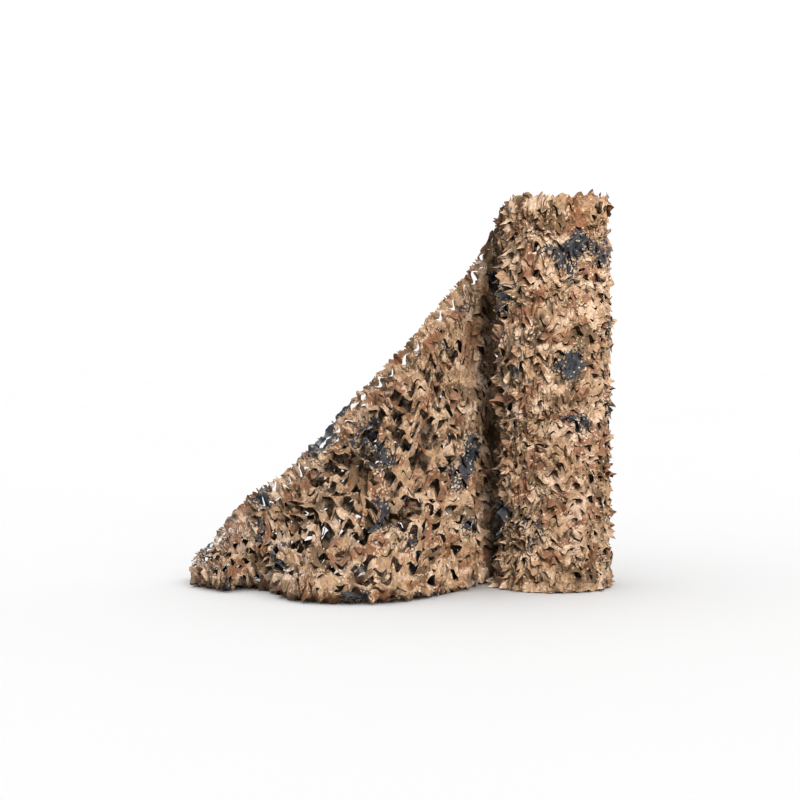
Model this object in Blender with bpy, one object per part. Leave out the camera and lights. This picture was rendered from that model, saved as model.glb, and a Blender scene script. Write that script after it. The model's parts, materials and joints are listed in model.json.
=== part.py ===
"""A standing roll of leaf-cut camouflage netting, with its loose end drawn out and draped to the floor.

Metres, +Z up. The origin is on the floor, on the roll's axis. +X is to the right and +Y to the back.
The netting leaves the roll at its back and runs towards -X. Its upper selvedge comes down in a slope,
and the width that this leaves over lies on the floor as soft folds and turns up inside.
"""

import math
import random
from collections import namedtuple

import bmesh
import bpy

# The netting
NET_WIDTH = 1.470  # selvedge to selvedge, the height of the roll
NET_THICK = 0.006  # the cloth with its leaves pressed together
LEAF_RISE = 0.011  # how far the leaves stand out of the cloth

# The roll
ROLL_RADIUS = 0.201
ROLL_COLUMNS = 40  # each second one carries a leaf tip
ROLL_SHINGLES = 22  # rows of leaves, one above the other
ROLL_LUMP = 0.004
ROW_WAVE = 0.013  # how far a row of leaves wanders up and down on its way round
LIP_RISE = 0.014  # a row's lower lip above the hollow under it
LIP_HEIGHT = 0.016
TIP_DROP = 0.013
LEAF_JITTER = 0.010
TURN_PITCH = 0.045  # between the ridges that the wound turns make on the end
TURN_RISE = 0.014
END_RINGS = 10
END_CENTRE_RADIUS = 0.012
LANDING_ANGLE = math.radians(90)  # where the loose end leaves the roll
LANDING_HALF = math.radians(27)
FLARE_ANGLE = math.radians(195)  # the slack top corner of the outer turn
FLARE_HALF = math.radians(70)
FLARE_OUT = 0.010
FLARE_FROM = 1.15
TOP_TAPER = 0.007  # the roll is wound a little tighter at its top
FOOT_FLARE = 0.009  # the lowest leaves spread on the floor
FOOT_FLARE_TO = 0.16

# The loose end
SEAT_GAP = 0.0003  # between the roll and the loose end
SHEET_COLUMNS = 19
SHEET_ROWS = 24
ZIGZAG = 0.30  # how far a row's line swings, as a share of the row
GAP_REACH = 0.72  # half length of a leaf gap, as a share of half a column
GAP_OPEN = 0.52  # half height of a leaf gap, as a share of half a row
SELVEDGE_TIP = 0.020  # leaf tips along the ridge
AGAINST_ROLL = 4  # half columns whose leaves stand out on the far side, because the roll is on this one
CUT_END_TEETH = 0.014
FLOOR_MID = NET_THICK / 2

# One row for each rib of the loose end, in millimetres, from the roll to the cut end. A rib runs from the
# ridge, the upper selvedge, down the slope to a crease, over a floor fold with its nose in front, along the
# floor to the tuck, and back inside by way of the turn and the inner point to the tip, the lower selvedge.
# bow: how far the slope bulges to the front.
Rib = namedtuple(
    "Rib",
    "ridge_x ridge_y ridge_z bow crease_y crease_z fold_z foot_x nose_y tuck_y turn_y turn_z "
    "inner_y inner_z tip_y tip_z",
)
SEAT = 1000 * (ROLL_RADIUS + SEAT_GAP + FLOOR_MID)
RIBS_MM = [
    Rib(0, SEAT, 1460, 0, SEAT, 400, 100, 0, SEAT, SEAT, SEAT, 3, SEAT, 3, SEAT, 3),
    Rib(-110, 208, 1455, 0, 210, 400, 100, -110, 212, 213, 213, 3, 213, 3, 213, 3),
    Rib(-215, 208, 1390, 4, 192, 380, 100, -214, 105, 175, 190, 14, 200, 50, 216, 150),
    Rib(-290, 208, 1260, 10, 130, 360, 100, -280, 5, 90, 115, 26, 150, 160, 206, 500),
    Rib(-370, 205, 1158, 12, 40, 340, 100, -340, -125, -20, 5, 30, 85, 300, 192, 780),
    Rib(-470, 195, 1040, 10, -60, 320, 100, -425, -250, -140, -115, 30, -5, 320, 175, 850),
    Rib(-585, 185, 905, 4, -165, 300, 100, -540, -400, -270, -245, 30, -110, 280, 150, 735),
    Rib(-700, 175, 785, -4, -225, 260, 110, -680, -480, -350, -325, 30, -185, 230, 122, 628),
    Rib(-830, 165, 636, -12, -205, 190, 130, -850, -490, -350, -325, 28, -200, 120, 112, 490),
    Rib(-960, 160, 496, -20, -115, 160, 150, -980, -415, -250, -225, 26, -110, 85, 115, 362),
    Rib(-1080, 165, 394, -16, -25, 155, 150, -1075, -225, 0, 40, 25, 40, 60, 125, 262),
    Rib(-1170, 175, 338, -12, 15, 150, 140, -1150, -135, 110, 150, 22, 20, 50, 138, 185),
    Rib(-1260, 190, 230, -6, 0, 140, 120, -1255, -190, 145, 185, 22, -40, 45, 154, 98),
    Rib(-1340, 205, 128, 0, 60, 105, 90, -1330, -105, 165, 205, 20, 20, 38, 175, 60),
    Rib(-1400, 220, 78, 0, 125, 80, 70, -1400, 10, 190, 225, 18, 100, 34, 195, 46),
]
RIBS = [Rib(*(value / 1000 for value in rib)) for rib in RIBS_MM]
NOSE_SHARE = 0.40  # height of a fold's nose, as a share of the fold
FOOT_BACK = 0.25  # how far behind the nose a fold meets the floor, as a share of the fold

# Creases and swags on the slope: (column, row) of each end in shares of the sheet, half width, height
Fold = namedtuple("Fold", "from_column from_row to_column to_row half_width height")
FOLDS = [
    Fold(0.18, 0.05, 0.26, 0.62, 0.035, 0.022),
    Fold(0.24, 0.14, 0.33, 0.60, 0.032, -0.022),
    Fold(0.33, 0.22, 0.50, 0.56, 0.040, 0.026),
    Fold(0.42, 0.46, 0.64, 0.52, 0.034, -0.024),
    Fold(0.46, 0.10, 0.66, 0.30, 0.040, 0.020),
    Fold(0.60, 0.40, 0.80, 0.42, 0.032, 0.020),
    Fold(0.70, 0.16, 0.86, 0.24, 0.032, -0.014),
]

TAN = (0.36, 0.235, 0.145, 1.0)
TAN_SHADE = (0.31, 0.205, 0.13, 1.0)


def clear_scene():
    for obj in list(bpy.data.objects):
        bpy.data.objects.remove(obj)


def cloth_material(name, colour):
    material = bpy.data.materials.new(name)
    material.use_nodes = True
    shader = material.node_tree.nodes["Principled BSDF"]
    shader.inputs["Base Color"].default_value = colour
    shader.inputs["Roughness"].default_value = 0.85
    shader.inputs["Metallic"].default_value = 0.0
    return material


def node_object(name, bm, material):
    """One named object from a bmesh, with its faces pointing out."""
    bmesh.ops.recalc_face_normals(bm, faces=bm.faces)
    mesh = bpy.data.meshes.new(name)
    bm.to_mesh(mesh)
    bm.free()
    mesh.materials.append(material)
    obj = bpy.data.objects.new(name, mesh)
    bpy.context.scene.collection.objects.link(obj)
    return obj


def smooth_step(value):
    value = min(1.0, max(0.0, value))
    return value * value * (3 - 2 * value)


def angle_between(a, b):
    return abs((a - b + math.pi) % (2 * math.pi) - math.pi)


# ---- The roll ----------------------------------------------------------------------


def bump_fade(angle):
    """No relief where the loose end lies against the roll, full relief away from it."""
    return smooth_step((angle_between(angle, LANDING_ANGLE) - LANDING_HALF / 2) / (LANDING_HALF / 2))


def roll_skin(angle, height):
    """Distance of the roll's skin from its axis without its leaves: wound lumps and the slack corners."""
    lump = ROLL_LUMP * (
        math.sin(2 * angle + 3.1 * height + 0.6) * 0.6
        + math.sin(3 * angle - 5.3 * height + 2.0) * 0.4
        + math.sin(angle + 9.0 * height) * 0.3
    )
    around = smooth_step(1 - angle_between(angle, FLARE_ANGLE) / FLARE_HALF)
    up = smooth_step((height - FLARE_FROM) / (NET_WIDTH - FLARE_FROM))
    spread = FOOT_FLARE * smooth_step(1 - height / FOOT_FLARE_TO)
    return ROLL_RADIUS + (lump + spread - TOP_TAPER * up) * bump_fade(angle) + FLARE_OUT * around * up


def on_roll(angle, radius, height):
    return (radius * math.cos(angle), radius * math.sin(angle), height)


def leaf_rows(rng):
    """The roll's side from the floor up: for each row of leaves the hollow under it and its jagged lip."""
    pitch = NET_WIDTH / ROLL_SHINGLES
    rows = []
    for shingle in range(ROLL_SHINGLES):
        hollow, lip = [], []
        phase = rng.uniform(0, 2 * math.pi)
        for column in range(ROLL_COLUMNS):
            angle = 2 * math.pi * column / ROLL_COLUMNS
            fade = bump_fade(angle)
            wave = math.sin(3 * angle + phase) * 0.6 + math.sin(5 * angle - 2 * phase) * 0.4
            is_tip = (column + shingle) % 2 == 0
            rise = LIP_RISE * (rng.uniform(0.35, 1.0) if is_tip else rng.uniform(-0.25, 0.35))
            drop = TIP_DROP * (-0.5 if is_tip else 0.5) + rng.uniform(-0.5, 0.5) * LEAF_JITTER
            low = pitch * shingle + (ROW_WAVE * wave + TIP_DROP + drop) * fade
            if shingle == 0:
                low = 0.0
            skin = roll_skin(angle, low)
            turn = rng.uniform(-1, 1) * LEAF_JITTER / ROLL_RADIUS * fade
            hollow.append(on_roll(angle, skin - LIP_RISE * rng.uniform(0.2, 0.6) * fade, low))
            lip.append(on_roll(angle + turn, skin + rise * fade, low + LIP_HEIGHT + drop * 0.5 * fade))
        rows += [hollow, lip]
    return rows


def rim_height(angle, jitter):
    """The upper selvedge of the outer turn: leaf tips on a rim that is a little uneven."""
    return NET_WIDTH - 0.010 + 0.008 * math.sin(2 * angle + 1.2) + 0.014 * (jitter - 1)


def end_height(radius, angle):
    """The roll's end, with a ridge along the edge of each bundle of turns."""
    phase = (radius / TURN_PITCH - angle / (2 * math.pi)) % 1.0
    ridge = 1 - abs(2 * phase - 1)
    dish = 0.014 * (1 - radius / ROLL_RADIUS)
    return NET_WIDTH - 0.020 - dish + TURN_RISE * (ridge - 0.5)


def add_ring(bm, points):
    return [bm.verts.new(point) for point in points]


def bridge_rings(bm, lower, upper):
    count = len(lower)
    for i in range(count):
        j = (i + 1) % count
        bm.faces.new((lower[i], lower[j], upper[j], upper[i]))


def make_roll():
    rng = random.Random(7)
    angles = [2 * math.pi * column / ROLL_COLUMNS for column in range(ROLL_COLUMNS)]
    bm = bmesh.new()
    rings = [add_ring(bm, row) for row in leaf_rows(rng)]
    rim = []
    for column, angle in enumerate(angles):
        radius = roll_skin(angle, NET_WIDTH) - 0.004 + 0.006 * (column % 2) * bump_fade(angle)
        rim.append(on_roll(angle, radius, rim_height(angle, rng.uniform(0.0, 2.0))))
    rings.append(add_ring(bm, rim))
    for ring in range(END_RINGS):
        share = 1 - (ring + 1) / (END_RINGS + 1)
        points = []
        for angle in angles:
            outer = roll_skin(angle, NET_WIDTH) - 0.012
            radius = END_CENTRE_RADIUS + (outer - END_CENTRE_RADIUS) * share
            points.append(on_roll(angle, radius, end_height(radius, angle)))
        rings.append(add_ring(bm, points))
    for lower, upper in zip(rings, rings[1:]):
        bridge_rings(bm, lower, upper)
    bm.faces.new(reversed(rings[0]))
    bm.faces.new(rings[-1])
    return node_object("net_roll", bm, cloth_material("netting", TAN))


# ---- The loose end -----------------------------------------------------------------


def rib_stations():
    """Distance of each rib from the first, as the mean of the ways along the ridge and along the foot."""
    stations = [0.0]
    for a, b in zip(RIBS, RIBS[1:]):
        ridge = math.dist((a.ridge_x, a.ridge_y, a.ridge_z), (b.ridge_x, b.ridge_y, b.ridge_z))
        foot = math.dist((a.foot_x, a.nose_y), (b.foot_x, b.nose_y))
        stations.append(stations[-1] + (ridge + foot) / 2)
    return stations


def cubic_between(stations, values, at):
    """A smooth curve through the values, read at one station."""
    last = len(stations) - 1
    i = max(k for k in range(last) if k == 0 or stations[k] <= at)
    span = stations[i + 1] - stations[i]

    def slope(k):
        low, high = max(0, k - 1), min(last, k + 1)
        return (values[high] - values[low]) / (stations[high] - stations[low])

    t = (at - stations[i]) / span
    rise = values[i + 1] - values[i]
    a = slope(i) * span - rise
    b = rise - slope(i + 1) * span
    return values[i] + rise * t + t * (1 - t) * (a * (1 - t) + b * t)


def rib_at(stations, at):
    columns = zip(*RIBS)
    return Rib(*(cubic_between(stations, column, at) for column in columns))


def rib_corners(rib):
    """The corner points of a rib, which its smooth line rounds off."""
    half_x = (rib.ridge_x + rib.foot_x) / 2

    def on_slope(share):
        return (
            rib.ridge_x + (half_x - rib.ridge_x) * share,
            rib.ridge_y + (rib.crease_y - rib.ridge_y) * share - rib.bow,
            rib.ridge_z + (rib.crease_z - rib.ridge_z) * share,
        )

    foot_y = min(rib.nose_y + FOOT_BACK * rib.fold_z, (rib.nose_y + rib.tuck_y) / 2)
    return [
        (rib.ridge_x, rib.ridge_y, rib.ridge_z),
        on_slope(0.3),
        on_slope(0.65),
        (half_x, rib.crease_y, rib.crease_z),
        (rib.foot_x, (rib.crease_y + rib.nose_y) / 2, max(rib.fold_z, rib.crease_z * 0.6)),
        (rib.foot_x, rib.nose_y, rib.fold_z * NOSE_SHARE + 0.01),
        (rib.foot_x, foot_y, FLOOR_MID),
        (rib.foot_x, rib.tuck_y, FLOOR_MID),
        (rib.foot_x, rib.turn_y, max(FLOOR_MID, rib.turn_z)),
        (half_x, rib.inner_y, max(FLOOR_MID, rib.inner_z)),
        (half_x, rib.tip_y, max(FLOOR_MID, rib.tip_z)),
    ]


def mix(a, b, share):
    return tuple(p + (q - p) * share for p, q in zip(a, b))


def rounded(corners, times=3):
    """Corner cutting: the line stays inside the corners, so what lies on the floor stays flat on it."""
    line = corners
    for _ in range(times):
        cut = [line[0]]
        for a, b in zip(line, line[1:]):
            cut += [mix(a, b, 0.25), mix(a, b, 0.75)]
        line = cut + [line[-1]]
    return line


def along(line, share):
    """The point at a share of the line's length."""
    lengths = [math.dist(a, b) for a, b in zip(line, line[1:])]
    left = share * sum(lengths)
    for a, b, length in zip(line, line[1:], lengths):
        if left <= length or b is line[-1]:
            return mix(a, b, min(1.0, left / max(length, 1e-9)))
        left -= length
    return line[-1]


def fold_rise(column_share, row_share, slope_length):
    """Height of the creases and swags at one place on the slope."""
    rise = 0.0
    for fold in FOLDS:
        ax, ay = fold.from_column * 2.0, fold.from_row * slope_length
        bx, by = fold.to_column * 2.0, fold.to_row * slope_length
        px, py = column_share * 2.0 - ax, row_share * slope_length - ay
        run_x, run_y = bx - ax, by - ay
        t = (px * run_x + py * run_y) / (run_x**2 + run_y**2)
        nearest = min(1.0, max(0.0, t))
        distance = math.hypot(px - run_x * nearest, py - run_y * nearest)
        end_fade = smooth_step(min(t, 1 - t) / 0.25 + 0.6)
        rise += fold.height * math.exp(-((distance / fold.half_width) ** 2)) * end_fade
    return rise


def slope_normal(points, half_column, row):
    """The way that the outer side of the cloth faces, from the neighbouring points."""
    last_column, last_row = len(points) - 1, len(points[0]) - 1
    a, b = points[max(0, half_column - 1)][row], points[min(last_column, half_column + 1)][row]
    c, d = points[half_column][max(0, row - 1)], points[half_column][min(last_row, row + 1)]
    u = [q - p for p, q in zip(a, b)]
    v = [q - p for p, q in zip(c, d)]
    normal = (u[1] * v[2] - u[2] * v[1], u[2] * v[0] - u[0] * v[2], u[0] * v[1] - u[1] * v[0])
    size = math.hypot(*normal) or 1.0
    return tuple(value / size for value in normal)


def leaf_fade(point):
    """No relief where the cloth lies on the floor."""
    return smooth_step((point[2] - 0.02) / 0.05)


def leaf_side(half_column):
    """The side of the cloth that its leaves stand out on."""
    return -1 if half_column <= AGAINST_ROLL else 1


def rib_lines():
    """The smooth line of each rib, one for each half column."""
    stations = rib_stations()
    count = 2 * SHEET_COLUMNS
    return [rounded(rib_corners(rib_at(stations, stations[-1] * k / count))) for k in range(count + 1)]


def sheet_points(lines):
    """The middle of the cloth: one list for each half column, one point for each row line, no relief."""
    points = []
    for k, line in enumerate(lines):
        column = []
        for row in range(SHEET_ROWS + 1):
            swing = 0.5 * ZIGZAG * (-1 if (k + row) % 2 else 1)
            share = (row + swing) / SHEET_ROWS
            column.append(along(line, min(1.0, max(0.0, share))))
        points.append(column)
    return points


def moved(point, normal, distance):
    return tuple(p + n * distance for p, n in zip(point, normal))


def gap_is_cut(points, half_column, row):
    """Gaps are cut where the net is drawn open, on the slope and its folds, and not by the roll."""
    column = points[half_column + 1]
    low = min(column[row][2], column[row + 1][2])
    nose = min(range(len(column)), key=lambda r: column[r][1])
    open_rows = 4 + 2 * max(0, half_column - 5)
    return half_column > 2 and row < min(open_rows, nose) and low > 0.035


def make_sheet():
    rng = random.Random(21)
    points = sheet_points(rib_lines())
    last = 2 * SHEET_COLUMNS
    net = NetSurface()
    grid, normals = [], []
    for k, column in enumerate(points):
        grid.append([])
        normals.append([])
        for row, point in enumerate(column):
            normal = slope_normal(points, k, row)
            fade = leaf_fade(point)
            leaf = LEAF_RISE * rng.uniform(0.3, 0.9) * (0.6 if (k + row) % 2 else -0.5)
            if leaf_side(k) < 0:
                leaf = min(leaf, 0.0) * 1.5
            swag = fold_rise(k / last, row / SHEET_ROWS, 1.6)
            place = moved(point, normal, (leaf + swag) * fade)
            if row == 0 and k % 2 and k > 1:
                down = way_between(point, column[1])
                place = moved(place, down, -SELVEDGE_TIP * rng.uniform(0.6, 1.15))
            if k == last:
                place = (place[0] + CUT_END_TEETH * (1 if row % 2 else -1), *place[1:])
            grid[-1].append(net.vert(place))
            normals[-1].append(normal)
    cut = 0
    for row in range(SHEET_ROWS):
        first = row % 2
        for k in range(first, last - 1, 2):
            rim = [grid[k][row], grid[k + 1][row], grid[k + 2][row]]
            rim += [grid[k + 2][row + 1], grid[k + 1][row + 1], grid[k][row + 1]]
            if gap_is_cut(points, k, row):
                add_gap_cell(net, rim, normals[k + 1][row], rng)
                cut += 1
            elif leaf_fade(points[k + 1][row]) > 0.5:
                add_leaf_cell(net, rim, normals[k + 1][row], leaf_side(k), rng)
            else:
                net.faces.append(tuple(rim))
        if first:
            for k in (0, last - 1):
                net.faces.append((grid[k][row], grid[k + 1][row], grid[k + 1][row + 1], grid[k][row + 1]))
    print(f"leaf gaps cut through the loose end: {cut}")
    return node_object("loose_end", net.thickened(NET_THICK), cloth_material("netting_loose", TAN_SHADE))


def way_between(a, b):
    """The direction from one point to another, of length one."""
    length = math.dist(a, b) or 1.0
    return tuple((q - p) / length for p, q in zip(a, b))


def add_gap_cell(net, rim, normal, rng):
    """Six-sided cell with a leaf-shaped gap in it; the upper lip of the gap stands out as a leaf tip."""
    points = [net.points[v] for v in rim]
    centre = tuple(sum(point[i] for point in points) / 6 for i in range(3))
    left, right = mix(points[0], points[5], 0.5), mix(points[2], points[3], 0.5)
    top, bottom = points[1], points[4]
    lean = rng.uniform(-0.25, 0.25)
    opening = GAP_OPEN * rng.uniform(0.75, 1.0)
    gap_left = mix(centre, left, GAP_REACH)
    gap_right = mix(centre, right, GAP_REACH)
    gap_top = mix(mix(centre, top, opening), gap_left if lean < 0 else gap_right, abs(lean))
    gap_bottom = mix(mix(centre, bottom, opening), gap_right if lean < 0 else gap_left, abs(lean))
    gl, gr = net.vert(gap_left), net.vert(gap_right)
    gt = net.vert(moved(gap_top, normal, LEAF_RISE * rng.uniform(0.6, 1.1)))
    gb = net.vert(moved(gap_bottom, normal, -LEAF_RISE * 0.3))
    a, b, c, d, e, f = rim
    net.faces += [(a, b, gt, gl), (b, c, gr, gt), (c, d, gr), (d, e, gb, gr), (e, f, gl, gb), (f, a, gl)]


def add_leaf_cell(net, rim, normal, side, rng):
    """Six-sided cell that is closed: one leaf, with its tip standing out low on one side."""
    points = [net.points[v] for v in rim]
    centre = tuple(sum(point[i] for point in points) / 6 for i in range(3))
    low = mix(centre, points[4], rng.uniform(0.1, 0.45))
    tip = mix(low, points[rng.choice((0, 2))], rng.uniform(0.0, 0.25))
    peak = net.vert(moved(tip, normal, side * LEAF_RISE * rng.uniform(0.7, 1.5)))
    net.faces += [(a, b, peak) for a, b in zip(rim, rim[1:] + rim[:1])]


class NetSurface:
    """The middle of the cloth as points and faces, which is then given its thickness."""

    def __init__(self):
        self.points = []
        self.faces = []

    def vert(self, point):
        self.points.append((point[0], point[1], max(point[2], FLOOR_MID)))
        return len(self.points) - 1

    def normals(self):
        """The mean way that the faces around each point face."""
        sums = [[0.0, 0.0, 0.0] for _ in self.points]
        for face in self.faces:
            size = [0.0, 0.0, 0.0]
            for a, b in zip(face, face[1:] + face[:1]):
                (ax, ay, az), (bx, by, bz) = self.points[a], self.points[b]
                size[0] += (ay - by) * (az + bz)
                size[1] += (az - bz) * (ax + bx)
                size[2] += (ax - bx) * (ay + by)
            for v in face:
                for i in range(3):
                    sums[v][i] += size[i]
        return [tuple(value / (math.hypot(*n) or 1.0) for value in n) for n in sums]

    def thickened(self, thickness):
        bm = bmesh.new()
        sides = []
        for way in (0.5, -0.5):
            side = []
            for point, normal in zip(self.points, self.normals()):
                x, y, z = moved(point, normal, thickness * way)
                side.append(bm.verts.new((x, y, max(z, 0.0))))
            sides.append(side)
        outer, inner = sides
        used = {}
        for face in self.faces:
            bm.faces.new([outer[v] for v in face])
            bm.faces.new([inner[v] for v in reversed(face)])
        for face in self.faces:
            for a, b in zip(face, face[1:] + face[:1]):
                used[frozenset((a, b))] = used.get(frozenset((a, b)), 0) + 1
        for face in self.faces:
            for a, b in zip(face, face[1:] + face[:1]):
                if used[frozenset((a, b))] == 1:
                    bm.faces.new((outer[b], outer[a], inner[a], inner[b]))
        return bm


clear_scene()
make_roll()
make_sheet()
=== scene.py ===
"""The looks of the camouflage netting: its leaves, gaps, wound turns, print and cloth.

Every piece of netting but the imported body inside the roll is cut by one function, leaf_net. It works on a
lattice of columns along the cloth and rows across it. Each row is a strip, joined to the next at a bridge
in every column, and the slit between two bridges opens into a gap with a leaf hanging over it. The lattice
is then laid on a surface: the draped loose end, or a turn of the roll.
"""

import json
import math
from collections import namedtuple

import bpy
import numpy as np
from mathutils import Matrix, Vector

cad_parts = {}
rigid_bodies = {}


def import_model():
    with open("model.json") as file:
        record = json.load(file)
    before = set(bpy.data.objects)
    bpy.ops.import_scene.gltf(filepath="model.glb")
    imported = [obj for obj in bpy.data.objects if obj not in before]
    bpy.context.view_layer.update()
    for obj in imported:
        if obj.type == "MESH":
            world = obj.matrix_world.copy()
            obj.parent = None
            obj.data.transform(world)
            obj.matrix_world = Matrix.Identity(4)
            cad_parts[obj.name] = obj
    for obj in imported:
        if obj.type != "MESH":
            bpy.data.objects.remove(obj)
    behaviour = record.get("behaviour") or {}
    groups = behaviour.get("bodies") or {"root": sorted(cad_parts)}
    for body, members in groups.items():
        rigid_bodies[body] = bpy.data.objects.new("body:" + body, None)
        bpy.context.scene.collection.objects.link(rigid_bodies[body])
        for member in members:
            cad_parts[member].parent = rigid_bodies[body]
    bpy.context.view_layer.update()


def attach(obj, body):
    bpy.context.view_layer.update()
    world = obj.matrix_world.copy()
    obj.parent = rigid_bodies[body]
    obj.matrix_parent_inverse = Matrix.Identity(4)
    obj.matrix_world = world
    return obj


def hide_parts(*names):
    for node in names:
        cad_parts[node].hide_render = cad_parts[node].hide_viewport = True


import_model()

# ---- Sizes, in metres --------------------------------------------------------------

Cell = namedtuple("Cell", "length height")  # along the cloth, from bridge to bridge, and from slit to slit
OPEN_CELL = Cell(0.070, 0.0387)  # where the net is let down
WOUND_CELL = Cell(0.0574, 0.0342)  # where it is drawn together on the roll
STEPS = 14  # points in each column
ACROSS = 4  # faces across a strip
LEAST_STRIP = 0.28  # the narrowest that a strip gets, as a share of a row
BRIDGE_HALF = 0.1  # half a bridge's width, as a share of a column
LEAF_OFF_MIDDLE = 0.19  # how far a leaf sits beside its gap's middle, as a share of a column
LEAF_HALF = 0.21  # half a leaf's width, as a share of a column
COLUMN_JITTER, ROW_JITTER = 0.016, 0.022  # how unevenly the cloth is cut, as shares of a column and a row
STRIP_BULGE = 0.003
FLOOR_CLEAR = 0.0008
ON_FLOOR = 0.02  # cloth below this height counts as lying on the floor
TINY = 1e-9

ROLL_RADIUS = 0.201
OUTER_TURN_GAP = 0.024
TURN_GROWTH = 0.003  # how much wider a turn ends than it starts
TURN_TOP, TURN_FOOT = 1.463, 0.004
BODY_RADIUS = 0.154
BODY_TOP = 1.348  # below the inner turns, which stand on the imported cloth

# ---- Shape of the loose end --------------------------------------------------------
# The ribs and folds are the CAD model's. The creases, the lip over them and the swells are only here.

Rib = namedtuple(
    "Rib",
    "ridge_x ridge_y ridge_z bow crease_y crease_z fold_z foot_x nose_y tuck_y turn_y turn_z "
    "inner_y inner_z tip_y tip_z",
)
SEAT = 204.3  # from the roll's axis to the middle of the sheet where it lies against the roll, in mm
RIBS_MM = [  # from the roll to the tail
    Rib(0, SEAT, 1460, 0, SEAT, 400, 100, 0, SEAT, SEAT, SEAT, 3, SEAT, 3, SEAT, 3),
    Rib(-110, 208, 1455, 0, 210, 400, 100, -110, 212, 213, 213, 3, 213, 3, 213, 3),
    Rib(-215, 208, 1390, 4, 192, 380, 100, -214, 105, 175, 190, 14, 200, 50, 216, 150),
    Rib(-290, 208, 1260, 10, 130, 360, 100, -280, 5, 90, 115, 26, 150, 160, 206, 500),
    Rib(-370, 205, 1158, 12, 40, 340, 100, -340, -125, -20, 5, 30, 85, 300, 192, 780),
    Rib(-470, 195, 1040, 10, -60, 320, 100, -425, -250, -140, -115, 30, -5, 320, 175, 850),
    Rib(-585, 185, 905, 4, -165, 300, 100, -540, -400, -270, -245, 30, -110, 280, 150, 735),
    Rib(-700, 175, 785, -4, -225, 260, 110, -680, -480, -350, -325, 30, -185, 230, 122, 628),
    Rib(-830, 165, 636, -12, -205, 190, 130, -850, -490, -350, -325, 28, -200, 120, 112, 490),
    Rib(-960, 160, 496, -20, -115, 160, 150, -980, -415, -250, -225, 26, -110, 85, 115, 362),
    Rib(-1080, 165, 394, -16, -25, 155, 150, -1075, -225, 0, 40, 25, 40, 60, 125, 262),
    Rib(-1170, 175, 338, -12, 15, 150, 140, -1150, -135, 110, 150, 22, 20, 50, 138, 185),
    Rib(-1260, 190, 230, -6, 0, 140, 120, -1255, -190, 145, 185, 22, -40, 45, 154, 98),
    Rib(-1340, 205, 128, 0, 60, 105, 90, -1330, -105, 165, 205, 20, 20, 38, 175, 60),
    Rib(-1400, 220, 78, 0, 125, 80, 70, -1400, 10, 190, 225, 18, 100, 34, 195, 46),
]
RIBS = np.array(RIBS_MM) / 1000
FLOOR_MID = 0.003  # the middle of the sheet where it lies on the floor
NOSE_SHARE = 0.40  # how high the fold's nose is, as a share of the fold's height
FOOT_BACK = 0.25  # how far behind the nose the fold meets the floor, as a share of its height

# Ends are given as shares along and down the loose end, widths and heights in metres.
Fold = namedtuple("Fold", "from_column from_row to_column to_row half_width height")
FOLD_SPAN = (2.0, 1.6)  # metres that those shares stand for, so that a fold is equally wide all round
FOLDS = [
    Fold(0.18, 0.05, 0.26, 0.62, 0.035, 0.022),
    Fold(0.24, 0.14, 0.33, 0.60, 0.032, -0.022),
    Fold(0.33, 0.22, 0.50, 0.56, 0.040, 0.026),
    Fold(0.42, 0.46, 0.64, 0.52, 0.034, -0.024),
    Fold(0.46, 0.10, 0.66, 0.30, 0.040, 0.020),
    Fold(0.60, 0.40, 0.80, 0.42, 0.032, 0.020),
    Fold(0.70, 0.16, 0.86, 0.24, 0.032, -0.014),
]
CREASES = [
    Fold(0.93, 0.180, 0.80, 0.290, 0.026, -0.036),
    Fold(0.80, 0.290, 0.56, 0.385, 0.028, -0.045),
    Fold(0.93, 0.240, 0.80, 0.345, 0.030, 0.012),
    Fold(0.80, 0.345, 0.58, 0.430, 0.030, 0.014),
    Fold(0.54, 0.345, 0.35, 0.315, 0.024, -0.050),
    Fold(0.55, 0.405, 0.36, 0.375, 0.036, 0.030),
    Fold(0.79, 0.58, 0.785, 0.38, 0.028, -0.040),
]
LIP_COLUMNS = [0.56, 0.80, 0.93]
LIP_ROWS = [0.365, 0.270, 0.165]
LIP_REACH = 0.070  # how far the cloth above the crease hangs over it
LIP_WAY = np.array([0.0, -1.0, -0.35])  # forwards and down
SWELL_SPAN = (2.1, 1.6)  # metres over which the cloth's slow swells are spread, along and down
EDGE_ROWS = 3  # rows that follow the slanted upper edge
EDGE_PITCH = 0.058
EDGE_SLANT = 0.036  # how far the edge rows' columns lean in each row
EDGE_ROWS_OVER = 0.110  # how far they hang over the level rows
FLAP_FROM, FLAP_TO = 0.085, 0.93  # where the inner layer starts and ends, as shares of the loose end
FLAP_PITCH = 0.052
FLAP_BELOW_RIDGE = 0.085
FLAP_BEHIND = 0.030
FLAP_LAP = 12  # points of a rib's inner end that the inner layer laps over
ROWS_PAST_FLOOR = 24  # rows that lie under the fold and go up inside it
ROW_STRETCH = 0.26  # how much taller the rows get halfway along
TAIL_FINENESS = 0.40  # how much narrower the columns get towards the tail
LEAD_ANGLE = 30  # degrees of the roll that the loose end's first leaves still lie on


def smooth_step(value):
    value = np.clip(value, 0.0, 1.0)
    return value * value * (3 - 2 * value)


def rise_from(value, start, over):
    """0 up to the start, then a smooth rise to 1 over the given stretch."""
    return smooth_step((value - start) / over)


def fall_to(value, end, over):
    """A smooth fall over the given stretch, down to 0 at the end."""
    return smooth_step((end - value) / over)


def smoothed(values):
    """Values evened out along a line whose two ends stay."""
    for _ in range(8):
        values[1:-1] = (values[:-2] + 2 * values[1:-1] + values[2:]) / 4
    return values


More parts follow.
